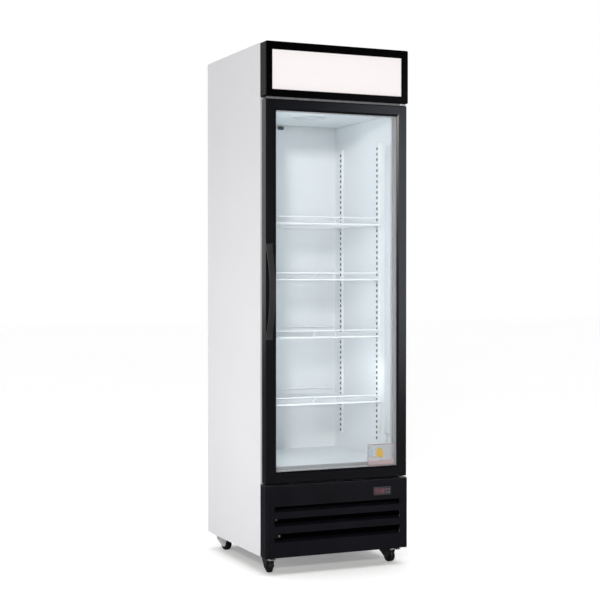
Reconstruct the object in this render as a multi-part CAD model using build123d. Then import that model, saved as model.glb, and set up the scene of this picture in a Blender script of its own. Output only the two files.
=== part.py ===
"""Single glass door merchandiser: an upright refrigerated cabinet on swivel casters.

Millimetres, +Z up, the door faces -Y. The origin is on the floor at the centre of the footprint, handle
included. Every depth below is measured back from the front plane of the canopy and grille, and the finished
solids are moved to the origin when they are written.
"""
from build123d import *
import math
import os

# ---------------------------------------------------------------- driving dimensions
WIDTH = 610.0
DEPTH = 645.0
HEIGHT = 2040.0
BASE_BOTTOM = 68.0          # underside of the cabinet above the floor
CASE_FRONT = 57.0           # depth where the cabinet's own front face lies
GRILLE_TOP = 346.0
CANOPY_BOTTOM = 1830.0
HANDLE_REACH = 36.0         # how far the handle stands in front of the front plane

SHEET = 1.0                 # painted steel outer panels
LINER = 2.0
WALL = 43.0                 # outer face to liner face at the sides
BACK_DEPTH = 587.0          # liner's rear face
FLOOR_Z = 410.0
COVER_Z = 1790.0            # underside of the evaporator cover, the visible ceiling
CEILING_Z = 1985.0
FOAM_FLOOR_Z = 350.0
FACE_THICK = 6.0

DOOR_LEFT, DOOR_RIGHT = -304.0, 300.0
DOOR_BOTTOM, DOOR_TOP = 354.0, 1821.0
DOOR_FRONT, DOOR_THICK = 2.0, 41.0
DOOR_BORDER = 43.0
POCKET_DEPTH, POCKET_FRONT, POCKET_BACK = 12.0, 6.0, 30.0
PANE = 4.0
HINGE_X, HINGE_Y = 288.0, 22.0
PIN_R, BUSH_R, PIN_FIT = 5.0, 8.0, 0.05

SHELF_LEVELS = (1355.0, 1133.0, 904.0, 640.0)   # centre of each shelf's front wire, top shelf first
SHELF_HALF, SHELF_FRONT, SHELF_REAR = 250.0, 131.0, 572.0
SHELF_WIRE_R, STAY_WIRE_R, DECK_WIRE_R, GUARD_WIRE_R = 3.0, 2.5, 1.6, 2.0
DECK_WIRES = 24
GUARD_RISE = 27.0
GUARD_FOOT, GUARD_SHOULDER = 52.0, 39.0         # half widths of the guard's middle trapezium
WIRE_GAP = 0.05                                 # keeps crossing wires just clear of each other

LAMP_Y, LAMP_Z, LAMP_THICK = (60.0, 112.0), (512.0, 1672.0), 5.0
LAMP_BOW = 4.0
LAMP_CAP_Y, LAMP_CAP_Z, LAMP_CAP_THICK = (88.0, 113.0), (481.0, 511.0), 7.0
PILASTER_DEPTHS = (168.0, 511.0)                # middle of the front and rear pilasters
PILASTER_FACE, PILASTER_PROUD, PILASTER_WALL = 20.0, 10.0, 1.5
PILASTER_BOTTOM, PILASTER_TOP = 476.0, 1690.0
SLOT_PITCH, SLOT_TALL, SLOT_WIDE = 22.2, 10.0, 7.0

CASTER_X = 258.0
CASTER_DEPTHS = {"front": 100.0, "rear": 588.0}
CASTER_TURNS = {"front_left": -5.0, "front_right": 18.0, "rear_left": 21.0, "rear_right": 15.0}
PLATE_HALF, PLATE_HOLE, PLATE_HOLE_R = 30.0, 22.0, 3.25
WHEEL_R, WHEEL_WIDE, TRAIL = 25.0, 20.0, 20.0
AXLE_R = 4.0
PEDAL_Y, PEDAL_Z, PEDAL_PIN_R = -34.0, 52.0, 2.0
PEDAL_TIP, PEDAL_HALF = -72.0, 12.0

GRILLE_SLOTS = ((127.0, 161.0), (188.0, 218.0), (243.0, 265.0))   # bottom and top of each air slot
GRILLE_SLOT_HALF = 270.0
GRILLE_CORNER_R = 10.0
SCREW_SPOTS = ((-258.0, 215.0), (-245.0, 150.0))
SCREW_SEAT, SCREW_R, SCREW_HEAD_R = 14.0, 2.4, 4.0
CONTROL_X, CONTROL_Z = 190.0, 300.0
CONTROL_WIDE, CONTROL_TALL = 77.0, 33.0
CUTOUT_WIDE, CUTOUT_TALL = 71.0, 29.0
BUTTON_SIZE, BUTTON_PROUD = 6.5, 1.6
BUTTONS = {"set": (-1, 1), "up": (1, 1), "defrost": (-1, -1), "down": (1, -1)}
BUTTON_CENTRE = 24.0        # from the controller's middle to the middle of its keypad

SIGN_HALF, SIGN_BOTTOM, SIGN_TOP = 277.0, 1858.0, 2009.0
CANOPY_WALL = 3.0

EVAP_FAN_Y, EVAP_FAN_R = 268.0, 76.0
TRAY = 2.0                  # base tray's sheet
FAN_X, FAN_Z, FAN_R = -60.0, 205.0, 95.0
COMP_X, COMP_Y = 100.0, 490.0

HALF = WIDTH / 2
INNER = HALF - WALL                              # liner's side faces
LINER_BACK = INNER + LINER                       # foam side of the liner's walls
DOOR_BACK = DOOR_FRONT + DOOR_THICK
FLOOR_TOP = BASE_BOTTOM + TRAY                   # top of the base tray, where the machinery stands
FRONT = HANDLE_REACH - (DEPTH + HANDLE_REACH) / 2   # front plane, measured from the origin


# ---------------------------------------------------------------- small helpers
def block(x0, x1, y0, y1, z0, z1):
    """A box between two corners."""
    middle = Pos((x0 + x1) / 2, (y0 + y1) / 2, (z0 + z1) / 2)
    return middle * Box(x1 - x0, y1 - y0, z1 - z0)


def rod(start, end, radius):
    """A straight round bar between two points."""
    start, end = Vector(*start), Vector(*end)
    along = end - start
    plane = Plane(origin=start, z_dir=along.normalized())
    return extrude(plane * Circle(radius), along.length)


def disc(x, y, z0, z1, radius):
    """An upright cylinder."""
    return Pos(x, y, (z0 + z1) / 2) * Cylinder(radius, z1 - z0)


def prism(points, direction):
    """A straight-edged outline, given as points in space, pushed along direction."""
    along = Vector(*direction)
    outline = make_face(Polyline(*points, close=True))
    return extrude(outline, along.length, dir=along.normalized())


def plate_holes(x, y):
    """Centres of the four bolt holes of a caster plate at x, y."""
    return [(x + dx, y + dy) for dx in (-PLATE_HOLE, PLATE_HOLE) for dy in (-PLATE_HOLE, PLATE_HOLE)]


def write(name, *shapes):
    """Write one node: its solids, moved from the front plane to the origin."""
    solids = [s for shape in shapes for s in (Pos(0, FRONT, 0) * shape).solids()]
    export_step(Compound(solids) if len(solids) > 1 else solids[0], f"parts/{name}.step")


# ---------------------------------------------------------------- cabinet shell
def outer_case():
    sides = [block(*sorted((s * HALF, s * (HALF - SHEET))), CASE_FRONT, DEPTH, BASE_BOTTOM, HEIGHT)
             for s in (-1, 1)]
    top = block(-HALF + SHEET, HALF - SHEET, CASE_FRONT, DEPTH, HEIGHT - SHEET, HEIGHT)
    return (*sides, top)


def rear_panel():
    return block(-HALF + SHEET, HALF - SHEET, DEPTH - SHEET, DEPTH, FOAM_FLOOR_Z, HEIGHT - SHEET)


def rear_vent_panel():
    """Lower rear cover of the machine compartment, with rows of upright air slots."""
    panel = block(-HALF + SHEET, HALF - SHEET, DEPTH - SHEET, DEPTH, BASE_BOTTOM + 4, FOAM_FLOOR_Z)
    slots = [block(x - 3, x + 3, DEPTH - 3, DEPTH + 2, z, z + 60)
             for z in (110, 190) for x in range(-240, 241, 20)]
    outlet = block(-270, -246, DEPTH - 3, DEPTH + 2, 276, 300)
    return panel - Compound(slots) - outlet


def foam_insulation():
    """Foam slabs of the walls, ceiling, floor and the header in front of the evaporator."""
    back = BACK_DEPTH + LINER
    face = CASE_FRONT + FACE_THICK
    top = HEIGHT - SHEET
    sides = [block(*sorted((s * (HALF - SHEET), s * LINER_BACK)), face, DEPTH - SHEET, FOAM_FLOOR_Z, top)
             for s in (-1, 1)]
    rear = block(-LINER_BACK, LINER_BACK, back, DEPTH - SHEET, FOAM_FLOOR_Z, top)
    ceiling = block(-LINER_BACK, LINER_BACK, face, back, CEILING_Z + LINER, top)
    floor = block(-LINER_BACK, LINER_BACK, face, back, FOAM_FLOOR_Z, FLOOR_Z - LINER)
    header = block(-LINER_BACK, LINER_BACK, face, 99, COVER_Z + LINER, CEILING_Z + LINER)
    return (*sides, rear, ceiling, floor, header)


def inner_liner():
    """White liner panels that face the goods, and the header's lining."""
    face = CASE_FRONT + FACE_THICK
    back = BACK_DEPTH + LINER
    sides = [block(*sorted((s * INNER, s * LINER_BACK)), face, back, FLOOR_Z - LINER, COVER_Z)
             for s in (-1, 1)]
    upper = [block(*sorted((s * INNER, s * LINER_BACK)), 101, back, COVER_Z, CEILING_Z) for s in (-1, 1)]
    rear = block(-INNER, INNER, BACK_DEPTH, back, FLOOR_Z - LINER, CEILING_Z)
    floor = block(-INNER, INNER, face, BACK_DEPTH, FLOOR_Z - LINER, FLOOR_Z)
    ceiling = block(-LINER_BACK, LINER_BACK, 99, back, CEILING_Z, CEILING_Z + LINER)
    header = block(-LINER_BACK, LINER_BACK, 99, 101, COVER_Z, CEILING_Z)
    soffit = block(-LINER_BACK, LINER_BACK, face, 99, COVER_Z, COVER_Z + LINER)
    return (*sides, *upper, rear, floor, ceiling, header, soffit)


def breaker_frame():
    """Face frame that the gasket closes on: two jambs, a sill and the header behind the canopy."""
    y0, y1 = CASE_FRONT, CASE_FRONT + FACE_THICK
    edge = HALF - SHEET
    jambs = [block(*sorted((s * edge, s * INNER)), y0, y1, FLOOR_Z, COVER_Z) for s in (-1, 1)]
    sill = block(-edge, edge, y0, y1, GRILLE_TOP + 1, FLOOR_Z)
    header = block(-edge, edge, y0, y1, COVER_Z, HEIGHT - SHEET)
    return (*jambs, sill, header)


def base_frame():
    """Folded steel base tray that carries the machinery and the casters."""
    edge, front, rear = HALF - SHEET - 0.5, CASE_FRONT + 2, DEPTH - SHEET - 0.5
    tray = block(-edge, edge, front, rear, BASE_BOTTOM, BASE_BOTTOM + 32)
    tray -= block(-edge + TRAY, edge - TRAY, front + TRAY, rear - TRAY, FLOOR_TOP, BASE_BOTTOM + 40)
    centres = [spot for sx in (-1, 1) for depth in CASTER_DEPTHS.values()
               for spot in plate_holes(sx * CASTER_X, depth)]
    holes = [disc(x, y, BASE_BOTTOM - 1, BASE_BOTTOM + 4, PLATE_HOLE_R) for x, y in centres]
    return tray - Compound(holes)


# ---------------------------------------------------------------- canopy with its lit sign
def canopy_frame():
    """Moulded black canopy box, open at the back, with a bevelled window for the sign."""
    box = block(-HALF, HALF, 0, CASE_FRONT - 0.5, CANOPY_BOTTOM, HEIGHT)
    box = fillet(box.edges().filter_by(Axis.Y), 6)
    box = fillet(box.faces().sort_by(Axis.Y)[0].edges(), 3)
    inside = block(-HALF + CANOPY_WALL, HALF - CANOPY_WALL, 12, CASE_FRONT, CANOPY_BOTTOM + CANOPY_WALL,
                   HEIGHT - CANOPY_WALL)
    window = block(-SIGN_HALF, SIGN_HALF, -1, 20, SIGN_BOTTOM, SIGN_TOP)
    rebate = block(-SIGN_HALF - 8, SIGN_HALF + 8, 6, 20, SIGN_BOTTOM - 8, SIGN_TOP + 8)
    frame = box - inside - window - rebate
    inner_edges = frame.edges().filter_by_position(Axis.Y, -0.01, 0.01).filter_by(
        lambda e: abs(e.center().X) < SIGN_HALF + 1 and SIGN_BOTTOM - 1 < e.center().Z < SIGN_TOP + 1)
    return chamfer(inner_edges, 3)


def sign_panel():
    return block(-SIGN_HALF - 7.5, SIGN_HALF + 7.5, 6, 9, SIGN_BOTTOM - 7.5, SIGN_TOP + 7.5)


def sign_lamp():
    """LED tube behind the sign, in two end holders on the header."""
    y, z, half = 36.0, (SIGN_BOTTOM + SIGN_TOP) / 2, 240.0
    tube = rod((-half, y, z), (half, y, z), 8)
    holders = [block(*sorted((s * half, s * (half + 16))), y - 11, CASE_FRONT - 0.5, z - 12, z + 12)
               for s in (-1, 1)]
    return (tube, *holders)


# ---------------------------------------------------------------- lower grille and controller
def grille_panel():
    """Moulded lower front panel: a box shell with three air slots and leaning slats behind them."""
    top = GRILLE_TOP
    shell = block(-HALF, HALF, 0, CASE_FRONT - 0.5, BASE_BOTTOM, top)
    shell = fillet(shell.edges().filter_by(Axis.Z).sort_by(Axis.Y)[:2], GRILLE_CORNER_R)
    rims = [e for e in shell.faces().sort_by(Axis.Z)[0].edges() + shell.faces().sort_by(Axis.Z)[-1].edges()
            if e.center().Y < GRILLE_CORNER_R]
    shell = fillet(rims, 2)
    inside = block(-HALF + 3, HALF - 3, 3, CASE_FRONT, BASE_BOTTOM + 3, top - 3)
    shell -= fillet(inside.edges().filter_by(Axis.Z).sort_by(Axis.Y)[:2], GRILLE_CORNER_R - 3)
    for low, high in GRILLE_SLOTS:
        shell -= block(-GRILLE_SLOT_HALF, GRILLE_SLOT_HALF, -1, 5, low, high)
    for low, high in GRILLE_SLOTS:
        # each slot's lower lip runs back and up, so that the slot can't be seen straight through
        lip = [(-GRILLE_SLOT_HALF - 2, 2, low - 3), (-GRILLE_SLOT_HALF - 2, 2, low),
               (-GRILLE_SLOT_HALF - 2, 20, low + 9), (-GRILLE_SLOT_HALF - 2, 20, low + 6)]
        shell += prism(lip, (2 * GRILLE_SLOT_HALF + 4, 0, 0))
    end = -GRILLE_SLOT_HALF
    for x, z in SCREW_SPOTS:
        tab = block(end - 4, x + 8, SCREW_SEAT, SCREW_SEAT + 4, z - 8, z + 8)
        shell += tab + block(end - 4, end - 1, 2, SCREW_SEAT + 1, z - 8, z + 8)
        shell -= rod((x, SCREW_SEAT - 4, z), (x, SCREW_SEAT + 6, z), SCREW_R + 0.1)
    half_wide, half_tall = CUTOUT_WIDE / 2, CUTOUT_TALL / 2
    return shell - block(CONTROL_X - half_wide, CONTROL_X + half_wide, -1, 5,
                         CONTROL_Z - half_tall, CONTROL_Z + half_tall)


def grille_screws():
    """Pan-head screws in two tabs at the left ends of the slots."""
    screws = []
    for x, z in SCREW_SPOTS:
        head = rod((x, SCREW_SEAT, z), (x, SCREW_SEAT - 3, z), SCREW_HEAD_R)
        head = fillet(head.edges().sort_by(Axis.Y)[0], 1.5)
        for wide, tall in ((2.5, 0.5), (0.5, 2.5)):
            head -= block(x - wide, x + wide, SCREW_SEAT - 4, SCREW_SEAT - 1.8, z - tall, z + tall)
        screws.append(head + rod((x, SCREW_SEAT, z), (x, SCREW_SEAT + 12, z), SCREW_R))
    return screws


def button_place(name):
    column, row = BUTTONS[name]
    return CONTROL_X + BUTTON_CENTRE + column * 5.5, CONTROL_Z + row * 5.5


def controller_housing():
    """Panel-mount thermostat: bezel on the grille's face and body through the cut-out."""
    half_wide, half_tall = CONTROL_WIDE / 2, CONTROL_TALL / 2
    bezel = block(CONTROL_X - half_wide, CONTROL_X + half_wide, -3, 0,
                  CONTROL_Z - half_tall, CONTROL_Z + half_tall)
    bezel = fillet(bezel.edges().filter_by(Axis.Y), 3)
    bezel = fillet(bezel.faces().sort_by(Axis.Y)[0].edges(), 1)
    body = block(CONTROL_X - CUTOUT_WIDE / 2 + 0.5, CONTROL_X + CUTOUT_WIDE / 2 - 0.5, 0, 48,
                 CONTROL_Z - CUTOUT_TALL / 2 + 0.5, CONTROL_Z + CUTOUT_TALL / 2 - 0.5)
    housing = bezel + body
    housing -= block(CONTROL_X - 33, CONTROL_X + 13, -4, -1.5, CONTROL_Z - 11, CONTROL_Z + 11)
    for name in BUTTONS:
        x, z = button_place(name)
        well = BUTTON_SIZE / 2 + 0.25
        housing -= block(x - well, x + well, -4, 3, z - well, z + well)
    return housing


def controller_display():
    return block(CONTROL_X - 32.8, CONTROL_X + 12.8, -2.9, -1.5, CONTROL_Z - 10.8, CONTROL_Z + 10.8)


def controller_button(name):
    x, z = button_place(name)
    half = BUTTON_SIZE / 2
    key = block(x - half, x + half, -3 - BUTTON_PROUD, 1, z - half, z + half)
    return chamfer(key.faces().sort_by(Axis.Y)[0].edges(), 0.6)


# ---------------------------------------------------------------- door
def bar_outline(place):
    """Door bar section. place turns (in from the outer edge, back from the front) into a point."""
    pocket = DOOR_BORDER - POCKET_DEPTH
    outline = [(0, 3.5), (0.5, 1.7), (1.7, 0.5), (3.5, 0), (35, 0), (DOOR_BORDER, 4),
               (DOOR_BORDER, POCKET_FRONT), (pocket, POCKET_FRONT), (pocket, POCKET_BACK),
               (DOOR_BORDER, POCKET_BACK), (DOOR_BORDER, 39.5), (41.5, DOOR_THICK), (0, DOOR_THICK)]
    chamber = [(3, 3), (28, 3), (28, 38), (3, 38)]
    return [place(*p) for p in outline], [place(*p) for p in chamber]


def door_bar(place, run, mitre, sink):
    outline, chamber = bar_outline(place)
    bar = prism(outline, run) - prism(chamber, run)
    ends = prism([(x, DOOR_FRONT - 1, z) for x, z in mitre], (0, DOOR_THICK + 2, 0))
    return (bar & ends) - sink


def hinge_bores():
    """Room for the two hinge bushes at the ends of the hinge axis."""
    low = disc(HINGE_X, HINGE_Y, DOOR_BOTTOM - 1, DOOR_BOTTOM + 20, BUSH_R)
    high = disc(HINGE_X, HINGE_Y, DOOR_TOP - 20, DOOR_TOP + 1, BUSH_R)
    return Compound([*low.solids(), *high.solids()])


def door_stile(side):
    tall = (0, 0, DOOR_TOP - DOOR_BOTTOM)
    outer = DOOR_LEFT if side < 0 else DOOR_RIGHT
    inner = outer - side * DOOR_BORDER
    mitre = [(outer, DOOR_BOTTOM), (inner, DOOR_BOTTOM + DOOR_BORDER),
             (inner, DOOR_TOP - DOOR_BORDER), (outer, DOOR_TOP)]
    return door_bar(lambda u, v: (outer - side * u, DOOR_FRONT + v, DOOR_BOTTOM), tall, mitre,
                    hinge_bores())


def door_rail(side):
    wide = (DOOR_RIGHT - DOOR_LEFT, 0, 0)
    outer = DOOR_BOTTOM if side < 0 else DOOR_TOP
    inner = outer - side * DOOR_BORDER
    mitre = [(DOOR_LEFT, outer), (DOOR_RIGHT, outer),
             (DOOR_RIGHT - DOOR_BORDER, inner), (DOOR_LEFT + DOOR_BORDER, inner)]
    return door_bar(lambda u, v: (DOOR_LEFT, DOOR_FRONT + v, outer - side * u), wide, mitre, hinge_bores())


def glazing_edges(inset=0.0):
    """Left, right, bottom and top of the glass unit, less an inset."""
    reach = DOOR_BORDER - POCKET_DEPTH + inset
    return DOOR_LEFT + reach, DOOR_RIGHT - reach, DOOR_BOTTOM + reach, DOOR_TOP - reach


def pane(front):
    x0, x1, z0, z1 = glazing_edges()
    return block(x0, x1, front, front + PANE, z0, z1)


def glass_spacer():
    x0, x1, z0, z1 = glazing_edges()
    front, back = DOOR_FRONT + POCKET_FRONT + PANE, DOOR_FRONT + POCKET_BACK - PANE
    width = POCKET_DEPTH + 3
    ring = block(x0, x1, front, back, z0, z1)
    return ring - block(x0 + width, x1 - width, front - 1, back + 1, z0 + width, z1 - width)


def door_gasket():
    """Magnetic bellows gasket on the back of the door: four lengths, mitred at the corners."""
    x0, x1, z0, z1 = DOOR_LEFT + 14, HINGE_X - 2, DOOR_BOTTOM + 18, DOOR_TOP - 13
    width = 16
    section = block(x0, x1, DOOR_BACK, CASE_FRONT, z0, z1)
    section -= block(x0 - 1, x1 + 1, 48, 51, z0 - 1, z1 + 1) - block(x0 + 3, x1 - 3, 47, 52, z0 + 3, z1 - 3)
    outer = [(x0, z0), (x0, z1), (x1, z1), (x1, z0)]
    inner = [(x0 + width, z0 + width), (x0 + width, z1 - width), (x1 - width, z1 - width),
             (x1 - width, z0 + width)]
    lengths = []
    for i in range(4):
        corners = (outer[i], inner[i], inner[(i + 1) % 4], outer[(i + 1) % 4])
        lengths.append(section & prism([(x, DOOR_BACK - 1, z) for x, z in corners], (0, 20, 0)))
    return lengths


def door_handle():
    """Bowed flat-bar handle on the free stile, with a flat foot at each end."""
    x0, x1 = DOOR_LEFT + 0.5, DOOR_LEFT + 24.5
    low, high, middle = 903.0, 1270.0, 1086.5
    thick = 5.0
    outside = ThreePointArc((0, -6, low + 24), (0, -HANDLE_REACH, middle), (0, -6, high - 24))
    inside = ThreePointArc((0, -0.5, high - 30), (0, -HANDLE_REACH + thick, middle), (0, -0.5, low + 30))
    edges = [outside, Line((0, -6, high - 24), (0, -4, high)), Line((0, -4, high), (0, DOOR_FRONT, high)),
             Line((0, DOOR_FRONT, high), (0, DOOR_FRONT, high - 30)),
             Line((0, DOOR_FRONT, high - 30), (0, -0.5, high - 30)), inside,
             Line((0, -0.5, low + 30), (0, DOOR_FRONT, low + 30)),
             Line((0, DOOR_FRONT, low + 30), (0, DOOR_FRONT, low)),
             Line((0, DOOR_FRONT, low), (0, -4, low)),
             Line((0, -4, low), (0, -6, low + 24))]
    bar = Pos(x0, 0, 0) * extrude(make_face(edges), x1 - x0, dir=(1, 0, 0))
    return fillet(bar.faces().filter_by(Axis.X).edges().filter_by(GeomType.CIRCLE), 1.5)


def door_closer():
    """Torsion rod inside the hinge stile, and the two flanged bushes that turn on the hinge pins."""
    bushes = []
    for face, inward in ((DOOR_BOTTOM, 1), (DOOR_TOP, -1)):
        flange = disc(HINGE_X, HINGE_Y, *sorted((face - inward * 1.5, face)), BUSH_R + 2)
        sleeve = disc(HINGE_X, HINGE_Y, *sorted((face, face + inward * 20)), BUSH_R)
        hole = disc(HINGE_X, HINGE_Y, *sorted((face - inward * 2, face + inward * 21)), PIN_R + PIN_FIT)
        bushes.append(flange + sleeve - hole)
    spring = disc(HINGE_X, HINGE_Y, DOOR_BOTTOM + 24, DOOR_TOP - 24, 3)
    return (*bushes, spring)


def hinge_brackets():
    """Hinge plates on the face frame, each with its pin."""
    made = []
    for face, out in ((DOOR_BOTTOM, -1), (DOOR_TOP, 1)):
        gap = 4.0
        levels = sorted((face + out * gap, face + out * (gap + 3)))
        plate = block(HINGE_X - 14, HALF - 2, HINGE_Y - 13, CASE_FRONT, *levels)
        plate = fillet(plate.edges().filter_by(Axis.Z).sort_by(Axis.Y)[:2], 6)
        heights = sorted((face + out * gap, face - out * 42))
        leg = block(HINGE_X + 1, HALF - 2, CASE_FRONT - 3, CASE_FRONT, *heights)
        for rise in (14, 32):
            z = face - out * rise
            leg -= rod((HINGE_X + 8, CASE_FRONT - 4, z), (HINGE_X + 8, CASE_FRONT + 1, z), 2.5)
        made.append(plate + leg)
        made.append(disc(HINGE_X, HINGE_Y, *sorted((face + out * gap, face - out * 19)), PIN_R))
    return made


# ---------------------------------------------------------------- cold space fittings
def shelf_pilasters():
    """Slotted channels on the side walls."""
    made = []
    for side in (-1, 1):
        for y in PILASTER_DEPTHS:
            wall, face = side * INNER, side * (INNER - PILASTER_PROUD)
            y0, y1 = y - PILASTER_FACE / 2, y + PILASTER_FACE / 2
            channel = block(*sorted((wall, face)), y0, y1, PILASTER_BOTTOM, PILASTER_TOP)
            channel -= block(*sorted((wall + side, face + side * PILASTER_WALL)), y0 + PILASTER_WALL,
                             y1 - PILASTER_WALL, PILASTER_BOTTOM - 1, PILASTER_TOP + 1)
            count = int((PILASTER_TOP - PILASTER_BOTTOM) / SLOT_PITCH)
            slots = [block(face - 2, face + 2, y - SLOT_WIDE / 2, y + SLOT_WIDE / 2, z, z + SLOT_TALL)
                     for z in (PILASTER_BOTTOM + 8 + i * SLOT_PITCH for i in range(count))]
            made.append(channel - Compound(slots))
    return made


def shelf_clips():
    """Clips hooked on the pilasters, four under each shelf."""
    made = []
    for level in SHELF_LEVELS:
        top = level - SHELF_WIRE_R
        for side in (-1, 1):
            face = side * (INNER - PILASTER_PROUD)
            for y in PILASTER_DEPTHS:
                back = block(*sorted((face, face - side * 1.5)), y - 6, y + 6, top - 14, top - 2)
                ledge = block(*sorted((face, face - side * 12)), y - 6, y + 6, top - 4, top)
                made.append(back + ledge)
    return made


def shelf(level):
    """Wire shelf: frame, deck wires, two stays, and two guards with a trapezium in the middle."""
    edge = SHELF_HALF - SHELF_WIRE_R
    wires = [rod((-SHELF_HALF, y, level), (SHELF_HALF, y, level), SHELF_WIRE_R)
             for y in (SHELF_FRONT, SHELF_REAR)]
    y0, y1 = SHELF_FRONT + SHELF_WIRE_R + WIRE_GAP, SHELF_REAR - SHELF_WIRE_R - WIRE_GAP
    wires += [rod((s * edge, y0, level), (s * edge, y1, level), SHELF_WIRE_R) for s in (-1, 1)]
    stay_z = level + SHELF_WIRE_R - STAY_WIRE_R
    stay = edge - SHELF_WIRE_R - WIRE_GAP
    wires += [rod((-stay, SHELF_FRONT + back, stay_z), (stay, SHELF_FRONT + back, stay_z), STAY_WIRE_R)
              for back in (145, 295)]
    deck_z = level + SHELF_WIRE_R + DECK_WIRE_R + WIRE_GAP
    pitch = 2 * (edge - 8) / (DECK_WIRES - 1)
    for i in range(DECK_WIRES):
        x = -(edge - 8) + i * pitch
        wires.append(rod((x, SHELF_FRONT + 3, deck_z), (x, SHELF_REAR - 3, deck_z), DECK_WIRE_R))
    for y in (SHELF_FRONT, SHELF_REAR):
        rail_z = level + GUARD_RISE
        foot, head = level + SHELF_WIRE_R + WIRE_GAP, rail_z - GUARD_WIRE_R - WIRE_GAP
        wires.append(rod((-SHELF_HALF, y, rail_z), (SHELF_HALF, y, rail_z), GUARD_WIRE_R))
        for s in (-1, 1):
            wires.append(rod((s * edge, y, foot), (s * edge, y, head), GUARD_WIRE_R))
            wires.append(rod((s * GUARD_FOOT, y, foot + 1), (s * GUARD_SHOULDER, y, head - 1), 1.7))
    return wires


def lamp_housings():
    """Upright LED lamp bodies in the front corners of the cold space, with a cable cap below each."""
    bodies = [block(*sorted((s * (INNER - LAMP_THICK), s * INNER)), *LAMP_Y, *LAMP_Z) for s in (-1, 1)]
    caps = [block(*sorted((s * (INNER - LAMP_CAP_THICK), s * INNER)), *LAMP_CAP_Y, *LAMP_CAP_Z)
            for s in (-1, 1)]
    return (*bodies, *caps)


def lamp_diffusers():
    """Bowed lenses of the LED lamps."""
    made = []
    y0, y1 = LAMP_Y[0] + 2, LAMP_Y[1] - 2
    z0, z1 = LAMP_Z[0] + 4, LAMP_Z[1] - 4
    for s in (-1, 1):
        x = s * (INNER - LAMP_THICK)
        bow = ThreePointArc((x, y0, z0), (x - s * LAMP_BOW, (y0 + y1) / 2, z0), (x, y1, z0))
        made.append(extrude(make_face([bow, Line((x, y1, z0), (x, y0, z0))]), z1 - z0, dir=(0, 0, 1)))
    return made


# ---------------------------------------------------------------- evaporator compartment
def evaporator_cover():
    """Ceiling panel under the evaporator, with the fan's ring of slots and an air gap behind it."""
    x = INNER - 1
    panel = block(-x, x, 102, 563, COVER_Z, COVER_Z + 2)
    panel += block(-x, x, 561, 563, COVER_Z + 1, COVER_Z + 22)
    ring = [Pos(0, EVAP_FAN_Y, COVER_Z + 1) * extrude(Circle(r + 3) - Circle(r - 3), 4, both=True)
            for r in range(20, 75, 11)]
    spokes = Compound([Pos(0, EVAP_FAN_Y, COVER_Z + 1) * Rot(0, 0, turn) * Box(170, 7, 10)
                       for turn in (0, 45, 90, 135)])
    return panel - Compound([s for r in ring for s in (r - spokes).solids()])


def fan_blade(radius, hub_r, hub_long, count, pitch):
    """Axial fan wheel about +Z at the origin."""
    wheel = Cylinder(hub_r, hub_long)
    span = radius - hub_r + 2
    chord = 2 * math.pi * (radius + hub_r) / 2 / count * 0.72
    for i in range(count):
        blade = Pos(hub_r - 2 + span / 2, 0, 0) * Rot(pitch, 0, 0) * Box(span, chord, 1.6)
        wheel += Rot(0, 0, i * 360 / count) * blade
    return wheel & Cylinder(radius, 80)


def evaporator_fan_blade():
    return Pos(0, EVAP_FAN_Y, COVER_Z + 28) * fan_blade(EVAP_FAN_R, 19, 16, 5, 24)


def evaporator_fan_motor():
    """Fan motor above its wheel, on a cross bracket bolted to the cover."""
    z = COVER_Z + 28
    motor = disc(0, EVAP_FAN_Y, z + 12, z + 62, 28) + disc(0, EVAP_FAN_Y, z + 8.3, z + 13, 4)
    y0, y1, foot = EVAP_FAN_Y - 9, EVAP_FAN_Y + 9, COVER_Z + 2
    bracket = block(-100, 100, y0, y1, z + 62, z + 64)
    for side in (-1, 1):
        bracket += block(*sorted((side * 98, side * 100)), y0, y1, foot, z + 64)
        bracket += block(*sorted((side * 100, side * 116)), y0, y1, foot, foot + 2)
    return motor + bracket


def finned_coil(x0, x1, y0, y1, z0, z1, pitch):
    """Fin pack with end plates and hairpin ends; the fins are cut as grooves round a solid core."""
    core = block(x0, x1, y0, y1, z0, z1)
    count = int((x1 - x0) / pitch)
    grooves = [block(x0 + pitch * (i + 0.5), x0 + pitch * (i + 0.5) + pitch * 0.5, y, y + 8, z0 - 1, z1 + 1)
               for i in range(count) for y in (y0 - 4, y1 - 4)]
    coil = core - Compound(grooves)
    for x in (x0, x1):
        coil += block(x - 1, x + 1, y0 - 4, y1 + 4, z0 - 4, z1 + 4)
    rows = int((z1 - z0 - 10) / 34)
    for i in range(rows):
        z = z0 + 12 + 34 * i
        for x, out in ((x0, -1), (x1, 1)):
            y = (y0 + y1) / 2
            for rise in (0, 18):
                coil += rod((x, y, z + rise), (x + out * 12, y, z + rise), 4)
            coil += rod((x + out * 12, y, z - 4), (x + out * 12, y, z + 22), 4)
    return coil


def evaporator_coil():
    return finned_coil(-210, 210, 390, 500, COVER_Z + 30, COVER_Z + 160, 12)


# ---------------------------------------------------------------- machine compartment
def condenser_coil():
    return finned_coil(-200, 80, 72, 118, FLOOR_TOP + 4, 322, 10)


def condenser_fan_shroud():
    """Square shroud with a round mouth, between the condenser and its fan."""
    plate = block(FAN_X - 118, FAN_X + 118, 124, 127, FLOOR_TOP, 322)
    mouth = rod((FAN_X, 126, FAN_Z), (FAN_X, 162, FAN_Z), FAN_R + 7)
    return plate + mouth - rod((FAN_X, 120, FAN_Z), (FAN_X, 170, FAN_Z), FAN_R + 4)


def condenser_fan_blade():
    wheel = fan_blade(FAN_R, 24, 20, 5, 26)
    return Pos(FAN_X, 146, FAN_Z) * Rot(90, 0, 0) * wheel


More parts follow.
